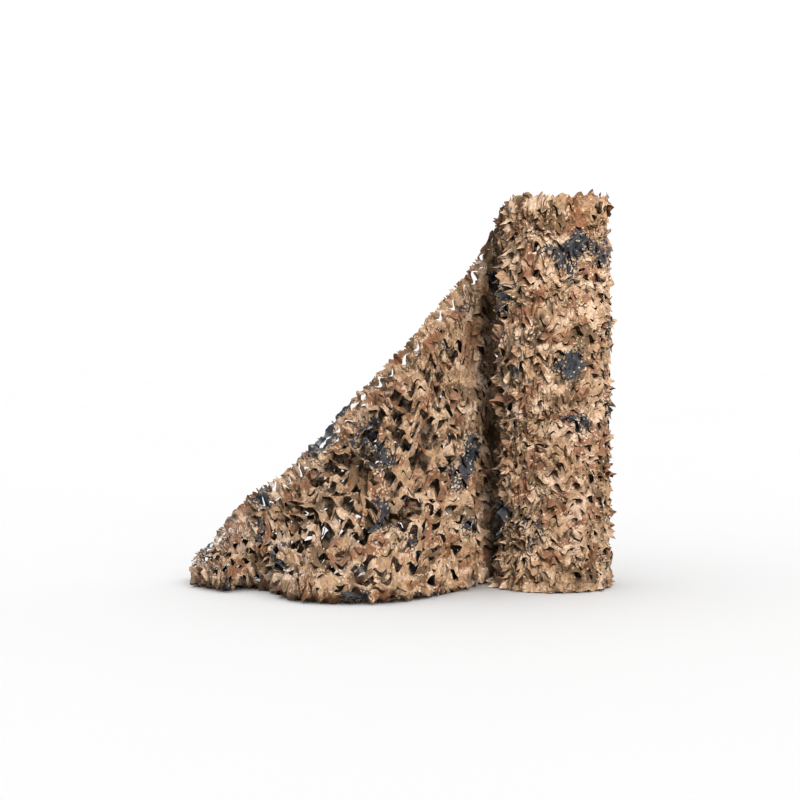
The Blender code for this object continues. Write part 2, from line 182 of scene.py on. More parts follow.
def soft_noise(seed, x, y, size, side=61):
    """Smooth noise from -1 to 1 with hills of about the given size. It repeats after side of them."""
    table = np.random.RandomState(seed).uniform(-1, 1, (side, side))
    x, y = np.asarray(x) / size, np.asarray(y) / size
    i, j = np.floor(x).astype(int), np.floor(y).astype(int)
    s, t = smooth_step(x - i), smooth_step(y - j)
    i, j = i % side, j % side
    i1, j1 = (i + 1) % side, (j + 1) % side
    low = table[i, j] * (1 - s) + table[i1, j] * s
    high = table[i, j1] * (1 - s) + table[i1, j1] * s
    return low * (1 - t) + high * t


def space_noise(seed, points, size, side=31):
    """Smooth noise from -1 to 1 in space, the same whichever piece asks for it."""
    table = np.random.RandomState(seed).uniform(-1, 1, (side, side, side))
    at = points / size + 500
    cell = np.floor(at).astype(int)
    t = smooth_step(at - cell)
    total = np.zeros(points.shape[:-1])
    for corner in range(8):
        step = np.array([corner & 1, corner >> 1 & 1, corner >> 2 & 1])
        weight = np.prod(np.where(step, t, 1 - t), axis=-1)
        i, j, k = np.moveaxis((cell + step) % side, -1, 0)
        total += weight * table[i, j, k]
    return total


class Surface:
    """A grid of points with the way each one faces, read at any place by shares along and across.

    A layer of the loose end also has drops, the length of each line, and across, how far along each lies.
    """

    def __init__(self, points, outward=1.0):
        self.points = points
        self.outward = outward
        along = np.gradient(points, axis=0)
        across = np.gradient(points, axis=1)
        normals = np.cross(along, across) * outward
        size = np.linalg.norm(normals, axis=2, keepdims=True)
        self.normals = normals / np.maximum(size, 1e-12)

    def read(self, table, a, b):
        rows, columns = table.shape[0] - 1, table.shape[1] - 1
        x, y = a * rows, b * columns
        i = np.clip(np.floor(x).astype(int), 0, rows - 1)
        j = np.clip(np.floor(y).astype(int), 0, columns - 1)
        s, t = (x - i)[..., None], (y - j)[..., None]
        low = table[i, j] * (1 - s) + table[i + 1, j] * s
        high = table[i, j + 1] * (1 - s) + table[i + 1, j + 1] * s
        return low * (1 - t) + high * t

    def place(self, a, b):
        """Points and facings at shares a and b. Past an edge the points run straight on."""
        inside_a, inside_b = np.clip(a, 0, 1), np.clip(b, 0, 1)
        normals = self.read(self.normals, inside_a, inside_b)
        normals = normals / np.maximum(np.linalg.norm(normals, axis=-1, keepdims=True), TINY)
        return self.read(self.points, a, b), normals

    def measure_rows(self):
        """Finds how far down each line reaches the floor, and how far apart the lines are halfway there."""
        grid = self.points
        low = grid[..., 2] < ON_FLOOR
        on_floor = np.where(low.any(axis=1), np.argmax(low, axis=1), grid.shape[1] - 1)
        self.to_floor = smoothed(on_floor / (grid.shape[1] - 1) * self.drops)
        half = grid[np.arange(len(grid)), on_floor // 2]
        steps = np.linalg.norm(np.diff(half[:, :2], axis=0), axis=1)
        steps = steps * (1 + TAIL_FINENESS * rise_from(np.linspace(0, 1, len(steps)), 0.60, 0.15))
        self.across = np.concatenate([[0.0], np.cumsum(smoothed(steps))])

    def columns(self):
        return int(self.across[-1] / OPEN_CELL.length) + 1

    def share_at(self, x, past_end):
        """Share a of column x, run on by 0.03 a column before the start and by past_end a metre after."""
        distance = x * OPEN_CELL.length
        a = np.interp(distance, self.across, np.linspace(0, 1, len(self.across)))
        return a + np.minimum(x, 0) * 0.03 + np.maximum(distance - self.across[-1], 0) * past_end

    def along(self, values, a):
        """Values that are given line by line, read at shares a."""
        return np.interp(a, np.linspace(0, 1, len(values)), values)

    def past_lead(self, a):
        """Shares of the loose end, counted from where it leaves the roll."""
        return (a - self.lead) / (1 - self.lead)

    def row_pitch(self, a, b, rows):
        """How far apart the rows lie, in metres."""
        step = 0.5 / rows
        low, _ = self.place(a, np.clip(b - step, 0, 1))
        high, _ = self.place(a, np.clip(b + step, 0, 1))
        return np.linalg.norm(high - low, axis=-1)


# ---- The surface of the loose end --------------------------------------------------


def cubic_columns(stations, table, at):
    """Rows of a table joined by smooth curves through its stations, read at the places asked for."""
    last = len(stations) - 1
    out = []
    for s in at:
        i = min(last - 1, max(0, int(np.searchsorted(stations, s, side="right")) - 1))
        span = stations[i + 1] - stations[i]

        def slope(k):
            low, high = max(0, k - 1), min(last, k + 1)
            return (table[high] - table[low]) / (stations[high] - stations[low])

        t = (s - stations[i]) / span
        rise = table[i + 1] - table[i]
        a = slope(i) * span - rise
        b = rise - slope(i + 1) * span
        out.append(table[i] + rise * t + t * (1 - t) * (a * (1 - t) + b * t))
    return out


def rib_corners(values):
    """The corners of one rib's line: down the slope, over the fold, back under it and up inside."""
    rib = Rib(*values)
    half_x = (rib.ridge_x + rib.foot_x) / 2

    def on_slope(share):
        return (
            rib.ridge_x + (half_x - rib.ridge_x) * share,
            rib.ridge_y + (rib.crease_y - rib.ridge_y) * share - rib.bow,
            rib.ridge_z + (rib.crease_z - rib.ridge_z) * share,
        )

    foot_y = min(rib.nose_y + FOOT_BACK * rib.fold_z, (rib.nose_y + rib.tuck_y) / 2)
    return np.array(
        [
            (rib.ridge_x, rib.ridge_y, rib.ridge_z),
            on_slope(0.3),
            on_slope(0.65),
            (half_x, rib.crease_y, rib.crease_z),
            (rib.foot_x, (rib.crease_y + rib.nose_y) / 2, max(rib.fold_z, rib.crease_z * 0.6)),
            (rib.foot_x, rib.nose_y, rib.fold_z * NOSE_SHARE + 0.01),
            (rib.foot_x, foot_y, FLOOR_MID),
            (rib.foot_x, rib.tuck_y, FLOOR_MID),
            (rib.foot_x, rib.turn_y, max(FLOOR_MID, rib.turn_z)),
            (half_x, rib.inner_y, max(FLOOR_MID, rib.inner_z)),
            (half_x, rib.tip_y, max(FLOOR_MID, rib.tip_z)),
        ]
    )


def rounded(corners, times=4):
    """A line with its corners cut off, again and again."""
    line = corners
    for _ in range(times):
        a, b = line[:-1], line[1:]
        cut = np.stack([a * 0.75 + b * 0.25, a * 0.25 + b * 0.75], axis=1).reshape(-1, 3)
        line = np.vstack([line[:1], cut, line[-1:]])
    return line


def even_points(line, count):
    """Points at even distances along a line."""
    lengths = np.linalg.norm(np.diff(line, axis=0), axis=1)
    at = np.concatenate([[0.0], np.cumsum(lengths)])
    wanted = np.linspace(0, at[-1], count)
    return np.stack([np.interp(wanted, at, line[:, i]) for i in range(3)], axis=1)


def fold_rise(a, b):
    """How far folds and creases lift the cloth off its plain shape."""
    along, down = FOLD_SPAN
    rise = np.zeros_like(a)
    for fold in FOLDS + CREASES:
        ax, ay = fold.from_column * along, fold.from_row * down
        run_x, run_y = fold.to_column * along - ax, fold.to_row * down - ay
        px, py = a * along - ax, b * down - ay
        t = (px * run_x + py * run_y) / (run_x**2 + run_y**2)
        nearest = np.clip(t, 0, 1)
        distance = np.hypot(px - run_x * nearest, py - run_y * nearest)
        end_fade = smooth_step(np.minimum(t, 1 - t) / 0.25 + 0.6)
        rise += fold.height * np.exp(-((distance / fold.half_width) ** 2)) * end_fade
    return rise


def crease_lip(a, b, drops):
    """How far the cloth above the long crease hangs over it: a slow rise, then a sudden return."""
    above = (np.interp(a, LIP_COLUMNS, LIP_ROWS) - b) * drops[:, None]
    profile = np.where(above > 0, smooth_step(1 - above / 0.15), smooth_step(1 + above / 0.025))
    along = rise_from(a, 0.54, 0.07) * fall_to(a, 0.93, 0.07)
    return LIP_REACH * profile * along


def loose_end_surface():
    """The draped cloth, with its first stretch still on the roll, and the inner layer behind it."""
    along_count, across_count = 220, 300
    ridge, foot = RIBS[:, 0:3], RIBS[:, [7, 8]]  # ridge_x to ridge_z, and foot_x with nose_y
    ridge_step, foot_step = (np.linalg.norm(np.diff(line, axis=0), axis=1) for line in (ridge, foot))
    stations = np.concatenate([[0.0], np.cumsum((ridge_step + foot_step) / 2)])
    ribs = cubic_columns(stations, RIBS, np.linspace(0, stations[-1], along_count))
    grid = np.array([even_points(rounded(rib_corners(rib)), across_count) for rib in ribs])
    drops = np.linalg.norm(np.diff(grid, axis=1), axis=2).sum(axis=1)
    flap = flap_surface(ribs, grid)
    plain = Surface(grid)
    a, b = np.meshgrid(np.linspace(0, 1, along_count), np.linspace(0, 1, across_count), indexing="ij")
    off_floor = rise_from(grid[..., 2], 0.02, 0.05)
    off_roll = rise_from(a, 0.06, 0.08)
    x, y = a * SWELL_SPAN[0], b * SWELL_SPAN[1]
    swell = 0.006 * soft_noise(5, x, y, 0.16) + 0.004 * soft_noise(6, x, y, 0.08)
    rise = (fold_rise(a, b) + swell * off_roll) * off_floor
    grid = grid + plain.normals * rise[..., None]
    grid = grid + crease_lip(a, b, drops)[..., None] * LIP_WAY

    radius = grid[0, 0, 1]
    arc = math.radians(LEAD_ANGLE) * radius
    lead_count = int(round(arc / stations[-1] * (along_count - 1)))
    angles = np.radians(90 - LEAD_ANGLE + LEAD_ANGLE * np.arange(lead_count) / lead_count)
    lead = np.repeat(grid[:1], lead_count, axis=0)
    lead[..., 0] = (radius * np.cos(angles))[:, None]
    lead[..., 1] = (radius * np.sin(angles))[:, None]
    surface = Surface(np.concatenate([lead, grid]))
    surface.lead = lead_count / (lead_count + along_count - 1)
    surface.length = stations[-1] + arc
    surface.drops = np.concatenate([np.full(lead_count, drops[0]), drops])
    surface.measure_rows()
    return surface, flap


def flap_surface(ribs, grid):
    """The inner layer's upper part, from below its edge in the CAD model up to near the ridge."""
    lines = []
    first, last = int(FLAP_FROM * len(ribs)), int(FLAP_TO * len(ribs))
    for values, line in list(zip(ribs, grid))[first:last]:
        rib = Rib(*values)
        top_z = rib.ridge_z - FLAP_BELOW_RIDGE
        front = line[: len(line) // 3]
        at_top = front[int(np.argmin(np.abs(front[:, 2] - top_z)))]
        tip, below = line[-1], line[-FLAP_LAP]
        rise = max(top_z, tip[2] + 0.02)
        middle = (tip + at_top) / 2 + np.array([0, FLAP_BEHIND * 0.9, 0])
        top = np.array([at_top[0], at_top[1] + FLAP_BEHIND, rise])
        lines.append(even_points(rounded(np.array([top, middle, tip, below]), 3), 60))
    grid = np.array(lines)
    surface = Surface(grid, outward=-1.0)
    surface.drops = np.linalg.norm(np.diff(grid, axis=1), axis=2).sum(axis=1)
    half = grid[:, grid.shape[1] // 2, :2]
    surface.across = np.concatenate([[0.0], np.cumsum(np.linalg.norm(np.diff(half, axis=0), axis=1))])
    surface.tops = grid[:, 0, 2]
    return surface


# ---- The leaf net ------------------------------------------------------------------


def slit_shape(columns, slit, rng):
    """One slit along the cloth: a wavy cut in every column, with a leaf above it and a leaf below it."""
    k = np.arange(columns * STEPS + 1)
    x = k / STEPS + ((slit - 1) % 2) / 2 + 0.5
    cell = np.floor(x).astype(int)
    t = x - cell - 0.5
    count = cell.max() + 2
    draws = rng.uniform(-1, 1, (10, count))
    lean, size, size_too, curl, curl_too, wide, lift, flip, top, broad = (row[cell] for row in draws)
    reach = 0.5 - BRIDGE_HALF
    crown = 0.22 * top
    rising = np.clip((t + reach) / (crown + reach), 0, 1)
    falling = np.clip((reach - t) / (reach - crown), 0, 1)
    lens = np.where(np.abs(t) >= reach - TINY, 0.0, np.minimum(rising, falling) ** 0.8)
    turned = 1.0 if slit % 2 else -1.0

    def tongue(centre, half):
        return np.clip(1 - (np.abs(t - centre) / half) ** 1.4, 0, None) * (lens > 0)

    hanging = tongue(turned * LEAF_OFF_MIDDLE + 0.07 * lean, LEAF_HALF + 0.05 * broad)
    standing = tongue(-turned * LEAF_OFF_MIDDLE + 0.07 * lean, LEAF_HALF - 0.05 * broad)
    opened = np.where(wide < -0.5, 0.35, 1 + 0.4 * wide)
    return {
        "lens": lens * opened,
        "hanging": hanging * (0.80 + 0.55 * size),
        "standing": standing * (0.62 + 0.55 * size_too),
        "curl": hanging * (0.50 + 0.85 * curl),
        "curl_up": standing * (0.50 + 0.85 * curl_too),
        "lift": lens * (1 + 0.6 * lift) * np.where(flip < -0.62, -0.8, 1.0),
    }


def strip_edges(row, upper, lower, gap_at, leaf, tips):
    """The upper and the lower edge of each strip, in rows, and where it is joined to the strip below."""
    rows = len(row)
    first, last = row == 0, row == rows - 1
    y_up = row + gap_at(row) * upper["lens"] + leaf * (upper["hanging"] - upper["standing"])
    y_low = row + 1 - gap_at(row + 1) * lower["lens"] + leaf * (lower["hanging"] - lower["standing"])
    first_leaf = 0.45 * upper["lens"] + 0.65 * (upper["hanging"] + upper["standing"])
    last_leaf = tips[1] * (lower["hanging"] + lower["standing"])
    y_up = np.where(first, -tips[0] * first_leaf, y_up)
    y_low = np.where(last, rows - 0.25 * lower["lens"] + last_leaf, y_low)
    middle, half = (y_up + y_low) / 2, np.maximum(y_low - y_up, LEAST_STRIP) / 2
    joined_up, joined_low = np.abs(upper["lens"]) < TINY, np.abs(lower["lens"]) < TINY
    y_up = np.where(joined_up & ~first, row, np.minimum(y_up, middle - half))
    y_low = np.where(joined_low & ~last, row + 1, np.maximum(y_low, middle + half))
    return y_up, y_low, joined_low


def strip_faces(shape, joined_low):
    """The faces of all strips. A bridge's points belong to two strips: the lower takes the upper's."""
    ids = np.arange(math.prod(shape)).reshape(shape)
    for j in range(shape[0] - 1):
        ids[j + 1, joined_low[j], 0] = ids[j, joined_low[j], ACROSS]
    return np.stack([ids[:, :-1, :-1], ids[:, 1:, :-1], ids[:, 1:, 1:], ids[:, :-1, 1:]], axis=-1)


def faces_area(points, faces):
    corners = points[faces]
    diagonals = np.cross(corners[:, 2] - corners[:, 0], corners[:, 3] - corners[:, 1])
    return float(np.linalg.norm(diagonals, axis=1).sum() / 2)


def leaf_net(
    name, columns, rows, surface, *, openness, seed, first_column, curl, tilt, tips, first_row=0.0,
    leaf=0.34, crumple=0.0022, wander=0.16, crush=0.005, side=None, ends=(0, 0), painted_fold_shade=None,
    relief=None, lay=None, keep=None, stand_off=0.0, cell=WOUND_CELL,
):
    """A net of strips and leaves laid on a surface. Returns the mesh object and the smooth cloth's area.

    A function here takes shares a along and b down the surface, unless it says otherwise.

    openness: function of a, b and the cloth's facing that gives half a gap's height as a share of a row
    first_column, first_row: where on the printed cloth the net starts
    curl, tilt: how far leaves curl and strips lean out of the cloth
    tips: how long the leaves on the first and on the last row are, as shares of a row
    leaf: how long the other leaves are, as a share of a row, or a function that gives it
    crumple, crush: how deep the small and the large dents are
    wander: how far the lattice strays from even, in columns
    side: function that gives 1 where leaves stand on both sides, 0 where only on the cloth's back
    ends: shares of the surface that may be torn off at random at its start and at its end, with lay
    painted_fold_shade: function that gives 1 where the cloth's back lies inside the fold and is darkened
    there as painted shade
    relief: function that scales how far the leaves stand off
    lay: function of lattice places x, y that gives a, b. They are even if it is left out
    keep: function that says where the net is left in place, with lay
    stand_off: how far the whole net stands off the surface
    cell: the size of a column and a row
    """
    rng = np.random.RandomState(seed)
    count = columns * STEPS + 1
    x = np.repeat((np.arange(count) / STEPS)[None, :], rows, axis=0)
    row = np.arange(rows)[:, None] + np.zeros((1, count))
    slits = [slit_shape(columns, slit, rng) for slit in range(rows + 1)]
    upper = {key: np.array([slit[key] for slit in slits[:-1]]) for key in slits[0]}
    lower = {key: np.array([slit[key] for slit in slits[1:]]) for key in slits[0]}
    even = lay is None
    if even:

        def lay(x, y):
            return x / columns, y / rows

    def gap_at(y):
        a, b = lay(x, y)
        return openness(a, b, surface.place(a, b)[1])

    mid_a, mid_b = lay(x, row + 0.5)
    if callable(leaf):
        leaf = leaf(mid_a, mid_b)
    y_up, y_low, joined_low = strip_edges(row, upper, lower, gap_at, leaf, tips)

    # Where a strip is drawn narrower than its cloth, what is over makes it stand out.
    pitch = surface.row_pitch(mid_a, mid_b, rows)
    narrow = np.clip(y_low - y_up, 0.2, 1.2) * pitch / cell.height
    steep = 0.5 * cell.height * np.sqrt(np.clip(1 - np.minimum(narrow, 1) ** 2, 0, 1))
    lean = tilt + steep * 0.8
    n_up = curl * upper["curl_up"] - lean * upper["lift"] * upper["lens"]
    n_up = np.where(row == 0, curl * (upper["curl"] + upper["curl_up"]) * 0.8, n_up)
    n_low = lean * lower["lift"] * lower["lens"] + curl * lower["curl"]
    bulge = STRIP_BULGE * rng.uniform(-1, 1, (rows, count))
    bulge = (bulge + np.roll(bulge, 1, axis=1) + np.roll(bulge, 2, axis=1)) / 2
    if relief is not None:
        scale = relief(mid_a, mid_b)
        n_up, n_low = n_up * scale, n_low * scale

    s = np.linspace(0, 1, ACROSS + 1)[None, None, :]
    shape = (rows, count, ACROSS + 1)
    n = n_up[..., None] * (1 - s) + n_low[..., None] * s + bulge[..., None] * 4 * s * (1 - s)
    n = n + crumple * rng.uniform(-1, 1, shape)
    u = np.repeat(x[..., None], ACROSS + 1, axis=2)
    x = u + COLUMN_JITTER * rng.uniform(-1, 1, shape)
    y = y_up[..., None] * (1 - s) + y_low[..., None] * s
    y = y + ROW_JITTER * rng.uniform(-1, 1, shape)

    printed_at = x + first_column, (y + first_row) * 0.6
    drift_x = wander * soft_noise(seed + 11, *printed_at, 1.5)
    drift_y = wander * 2.2 * soft_noise(seed + 12, *printed_at, 1.7)
    edge_hold = smooth_step(np.minimum(y + 0.4, rows - y + 0.4) / 2)
    end_hold = smooth_step(np.minimum(x, columns - x) / 1.5)
    a, b = lay(x + drift_x * end_hold, y + drift_y * edge_hold)
    smooth, normals = surface.place(a, b)
    n = n + crush * space_noise(seed + 21, smooth, 0.036)
    n = n + 0.6 * crush * space_noise(seed + 22, smooth, 0.019)
    if side is not None:
        both = side(a, b)
        n = n * both - np.clip(0.75 * n + 0.003, 0, None) * (1 - both)
    points = smooth + normals * (n + stand_off)[..., None]
    points[..., 2] = np.maximum(points[..., 2], FLOOR_CLEAR)

    faces = strip_faces(shape, joined_low)
    if surface.outward < 0:
        faces = faces[..., ::-1]
    if not even:
        torn_first = ends[0] * rng.uniform(0, 1, (rows, 1, 1))
        torn_last = ends[1] * rng.uniform(0, 1, (rows, 1, 1))
        face_a, face_b = a[:, :-1, :-1], b[:, :-1, :-1]
        stays = (face_a > torn_first) & (face_a < 1 - torn_last) & (face_b >= 0) & (face_b < 1)
        if keep is not None:
            stays = stays & keep(face_a, face_b)
        faces = faces[stays]
    used, faces = np.unique(faces.reshape(-1, 4), return_inverse=True)
    faces = faces.reshape(-1, 4)
    uvs = np.stack([(u + first_column) * cell.length, -(y + first_row) * cell.height], axis=-1)
    cut_edge = np.abs(2 * s - 1) ** 3 * np.ones(shape)
    # How much painted shade the cloth's back gets in the fold.
    deep = painted_fold_shade(a, b) if painted_fold_shade else np.zeros(shape)
    piece = mesh_piece(
        name, points.reshape(-1, 3)[used], faces, uvs.reshape(-1, 2)[used],
        cut_edge.reshape(-1)[used], deep.reshape(-1)[used],
    )
    return piece, faces_area(smooth.reshape(-1, 3)[used], faces)


def mesh_piece(name, verts, faces, uvs, edge, deep):
    """A mesh with its place on the printed cloth, how near a cut edge it is, and how much painted shade its
    back gets in the fold.
    """
    mesh = bpy.data.meshes.new(name)
    mesh.from_pydata(verts.tolist(), [], faces.tolist())
    layer = mesh.uv_layers.new(name="cloth")
    loops = np.empty(len(mesh.loops), dtype=np.int32)
    mesh.loops.foreach_get("vertex_index", loops)
    layer.data.foreach_set("uv", uvs[loops].astype(np.float32).ravel())
    for key, values in (("cut_edge", edge), ("painted_fold_shade", deep)):
        attribute = mesh.attributes.new(key, "FLOAT", "POINT")
        attribute.data.foreach_set("value", values.astype(np.float32))
    mesh.shade_smooth()
    mesh.set_sharp_from_angle(angle=math.radians(38))
    mesh.update()
    piece = bpy.data.objects.new(name, mesh)
    bpy.context.scene.collection.objects.link(piece)
    return piece


# ---- Cloth ------------------------------------------------------------------------


def linear(rgb):
    return tuple((c / 255 / 12.92) if c <= 10 else ((c / 255 + 0.055) / 1.055) ** 2.4 for c in rgb) + (1.0,)


TAN = linear((107, 84, 62))
LIGHT_TAN = linear((126, 105, 86))
BROWN = linear((86, 57, 38))
KHAKI = linear((70, 52, 35))
SLATE = linear((31, 33, 37))
PALE = linear((146, 134, 112))

PRINT_BLOCK = 0.0048  # the print's smallest block
Blotch = namedtuple("Blotch", "colour scale offset over banded")  # banded: there is more of it in the band
BLOTCHES = [
    Blotch(LIGHT_TAN, 14.0, (3.1, 7.7, 0), 0.53, False),
    Blotch(BROWN, 11.0, (11.3, 2.9, 0), 0.545, True),
    Blotch(KHAKI, 9.0, (5.9, 17.1, 0), 0.585, True),
]
SLATE_OVER = 0.615
SLATE_RIM = (0.595, 0.635)  # where pale specks crowd along the edge of a slate patch
BAND_FROM, BAND_TO = -0.26, -0.02  # where the print gets darker, in metres up the printed cloth
THREADS = 320.0
FACET = 0.021
FACET_TILT = 0.46


class Nodes:
    """Short calls for building a node material."""

    def __init__(self, material):
        self.tree = material.node_tree

    def add(self, kind, **settings):
        node = self.tree.nodes.new(kind)
        for key, value in settings.items():
            setattr(node, key, value)
        return node

    def link(self, source, node, socket):
        self.tree.links.new(source, node.inputs[socket])

    def put(self, value, node, socket):
        """Links a node's output to a socket, or sets the socket to a plain value."""
        if isinstance(value, (int, float, tuple)):
            node.inputs[socket].default_value = value
        else:
            self.link(value, node, socket)

    def math(self, operation, a, b):
        node = self.add("ShaderNodeMath", operation=operation)
        self.put(a, node, 0)
        self.put(b, node, 1)
        return node.outputs[0]

    def mix(self, factor, a, b):
        node = self.add("ShaderNodeMix", data_type="RGBA")
        for socket, value in ((0, factor), (6, a), (7, b)):
            self.put(value, node, socket)
        return node.outputs[2]

    def noise(self, vector, scale, detail=2.0, roughness=0.5, offset=(0, 0, 0)):
        moved = self.add("ShaderNodeMapping")
        moved.inputs["Location"].default_value = offset
        self.link(vector, moved, "Vector")
        node = self.add("ShaderNodeTexNoise")
        node.inputs["Scale"].default_value = scale
        node.inputs["Detail"].default_value = detail
        node.inputs["Roughness"].default_value = roughness
        self.link(moved.outputs[0], node, "Vector")
        return node.outputs["Fac"]

    def white_noise(self, vector, dimensions):
        node = self.add("ShaderNodeTexWhiteNoise", noise_dimensions=dimensions)
        self.link(vector, node, "Vector")
        return node.outputs["Value"]

    def attribute(self, name):
        return self.add("ShaderNodeAttribute", attribute_name=name).outputs["Fac"]


def print_colour(n, uv, block, block_number):
    """The print: blotches of tan, brown, khaki and slate, worked out block by block, and pale specks."""
    grain = n.white_noise(block_number, "2D")
    dither = n.math("MULTIPLY", n.math("SUBTRACT", grain, 0.5), 0.10)

    # Greyer and darker towards the top of the printed cloth, where edge rows and inner turns are cut from.
    apart = n.add("ShaderNodeSeparateXYZ")
    n.link(uv, apart, 0)
    band = n.add("ShaderNodeMapRange", interpolation_type="SMOOTHSTEP")
    band.inputs["From Min"].default_value = BAND_FROM
    band.inputs["From Max"].default_value = BAND_TO
    n.link(apart.outputs["Y"], band, "Value")
    darker = n.math("ADD", dither, n.math("MULTIPLY", band.outputs[0], 0.075))

    colour = TAN
    for blotch in BLOTCHES:
        spread = n.noise(block, blotch.scale, 2.0, 0.55, blotch.offset)
        field = n.math("ADD", spread, darker if blotch.banded else dither)
        colour = n.mix(n.math("GREATER_THAN", field, blotch.over), colour, blotch.colour)
    slate = n.math("ADD", n.noise(block, 5.0, 3.0, 0.5, (23.3, 9.4, 0)), darker)
    colour = n.mix(n.math("GREATER_THAN", slate, SLATE_OVER), colour, SLATE)
    past_rim = n.math("GREATER_THAN", slate, SLATE_RIM[0])
    rim = n.math("MULTIPLY", past_rim, n.math("LESS_THAN", slate, SLATE_RIM[1]))
    beside = n.math("MULTIPLY", rim, n.math("GREATER_THAN", grain, 0.84))
    sown_here = n.math("GREATER_THAN", n.noise(block, 16.0, 1.0, 0.5, (31.0, 4.0, 0)), 0.55)
    sown = n.math("MULTIPLY", n.math("GREATER_THAN", grain, 0.94), sown_here)
    return n.mix(n.math("MULTIPLY", n.math("MAXIMUM", beside, sown), 0.65), colour, PALE)


def worn_and_shaded_colour(n, uv, colour, block_number, shade):
    """The print as it has faded and frayed, with painted shade: darker all over where shade is below 1, and
    darker on the cloth's back where it lies in the fold.
    """
    tone = n.white_noise(block_number, "3D")
    fade = n.noise(uv, 4.0, 3.0, 0.6, (2.0, 8.0, 0))
    faded = n.add("ShaderNodeHueSaturation")
    level = n.math("ADD", n.math("MULTIPLY", fade, 0.6 * shade), n.math("MULTIPLY", tone, 0.35 * shade))
    n.link(n.math("ADD", level, 0.52 * shade), faded, "Value")
    n.link(n.math("ADD", n.math("MULTIPLY", fade, -0.4), 1.15), faded, "Saturation")
    n.link(colour, faded, "Color")
    colour = n.mix(n.math("MULTIPLY", n.attribute("cut_edge"), 0.05), faded.outputs[0], PALE)
    # The cloth's back is a little duller; where it lies in the fold it is darkened further as painted
    # shade.
    back = n.add("ShaderNodeHueSaturation")
    n.link(n.math("SUBTRACT", 0.96, n.math("MULTIPLY", n.attribute("painted_fold_shade"), 0.50)), back, "Value")
    n.link(colour, back, "Color")
    geometry = n.add("ShaderNodeNewGeometry")
    return n.mix(geometry.outputs["Backfacing"], colour, back.outputs[0])


def cloth_relief(n, uv):
    """The cloth's threads and wrinkles, over small flat facets that stand for the folds within a leaf."""
    threads = []
    for way in ("X", "Y"):
        thread = n.add("ShaderNodeTexWave", bands_direction=way)
        thread.inputs["Scale"].default_value = THREADS
        n.link(uv, thread, "Vector")
        threads.append(thread.outputs["Fac"])
    weave = n.math("MULTIPLY", n.math("ADD", *threads), 0.5)
    wrinkle = n.noise(uv, 90.0, 4.0, 0.62, (1.0, 1.0, 0))
    height = n.math("ADD", n.math("MULTIPLY", wrinkle, 0.0020), n.math("MULTIPLY", weave, 0.00012))

    facet = n.add("ShaderNodeTexVoronoi", feature="F1", voronoi_dimensions="2D")
    facet.inputs["Scale"].default_value = 1 / FACET
    n.link(uv, facet, "Vector")
    tilts = n.add("ShaderNodeSeparateColor")
    n.link(facet.outputs["Color"], tilts, "Color")
    leaning = n.add("ShaderNodeCombineColor")
    for axis in ("Red", "Green"):
        away = n.math("MULTIPLY", n.math("SUBTRACT", tilts.outputs[axis], 0.5), FACET_TILT)
        n.link(n.math("ADD", away, 0.5), leaning, axis)
    leaning.inputs["Blue"].default_value = 1.0
    facing = n.add("ShaderNodeNormalMap", uv_map="cloth")
    n.link(leaning.outputs["Color"], facing, "Color")
    bump = n.add("ShaderNodeBump")
    bump.inputs["Strength"].default_value = 0.8
    bump.inputs["Distance"].default_value = 1.0
    n.link(height, bump, "Height")
    n.link(facing.outputs["Normal"], bump, "Normal")
    return bump.outputs[0]


# A shade below 1 darkens the whole print as painted shade.
def netting_material(name, shade=1.0):
    material = bpy.data.materials.new(name)
    material.use_nodes = True
    n = Nodes(material)
    shader = n.tree.nodes["Principled BSDF"]
    uv = n.add("ShaderNodeUVMap", uv_map="cloth").outputs[0]

    snap = n.add("ShaderNodeVectorMath", operation="SNAP")
    snap.inputs[1].default_value = (PRINT_BLOCK, PRINT_BLOCK, 1.0)
    n.link(uv, snap, 0)
    block = snap.outputs[0]
    number = n.add("ShaderNodeVectorMath", operation="SCALE")
    number.inputs["Scale"].default_value = 1 / PRINT_BLOCK
    n.link(block, number, 0)

    colour = print_colour(n, uv, block, number.outputs[0])
    n.link(worn_and_shaded_colour(n, uv, colour, number.outputs[0], shade), shader, "Base Color")
    n.link(cloth_relief(n, uv), shader, "Normal")
    rough = n.math("ADD", n.math("MULTIPLY", n.noise(uv, 35.0, 2.0, 0.5, (6.0, 1.0, 0)), 0.25), 0.38)
    n.link(rough, shader, "Roughness")
    shader.inputs["Specular IOR Level"].default_value = 0.06
    return material


# ---- The pieces ---------------------------------------------------------------------


def finish_piece(piece, material, node):
    piece.data.materials.append(material)
    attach(piece, "root")
    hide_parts(node)


def evenly(value):
    """The same value all over a surface, as leaf_net asks for it."""
    return lambda a, b, facing=None: value + 0 * a


